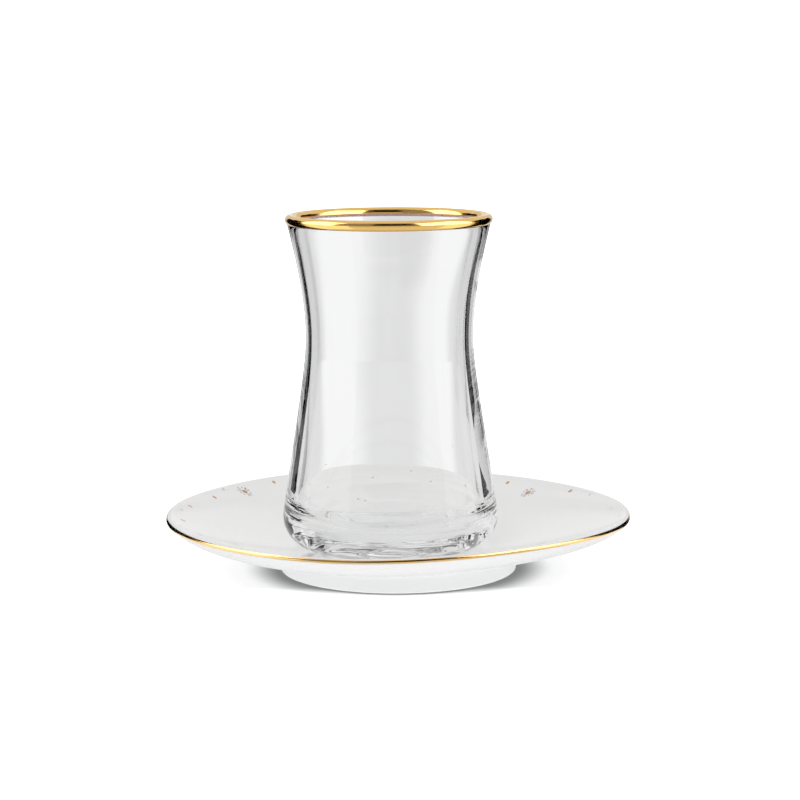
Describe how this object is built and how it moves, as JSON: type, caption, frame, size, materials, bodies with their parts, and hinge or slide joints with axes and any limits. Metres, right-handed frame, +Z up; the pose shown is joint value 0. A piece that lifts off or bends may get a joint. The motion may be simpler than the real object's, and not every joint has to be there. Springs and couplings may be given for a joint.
{
  "type": "turkish tea glass with saucer",
  "caption": "Waisted clear tea glass with a gilt lip bead, standing in a shallow porcelain saucer with a foot ring and a gilt edge.",
  "frame": {"origin": "centre of the saucer, on the surface that its foot ring stands on", "axes": "+Z up along the saucer's axis; the glass's axis is parallel to it, 2.15 mm towards -X; seen from -Y as in the picture"},
  "size_m": [0.13, 0.13, 0.0998],
  "materials": {
    "clear_glass": "polished",
    "porcelain": "glossy glaze",
    "lip_gilding": "polished gilding",
    "edge_gilding": "polished gilding"
  },
  "bodies": {
    "root": {"tea_glass": "clear_glass", "glass_gilt_lip": "lip_gilding", "saucer": "porcelain", "saucer_gilt_edge": "edge_gilding"}
  },
  "joints": []
}
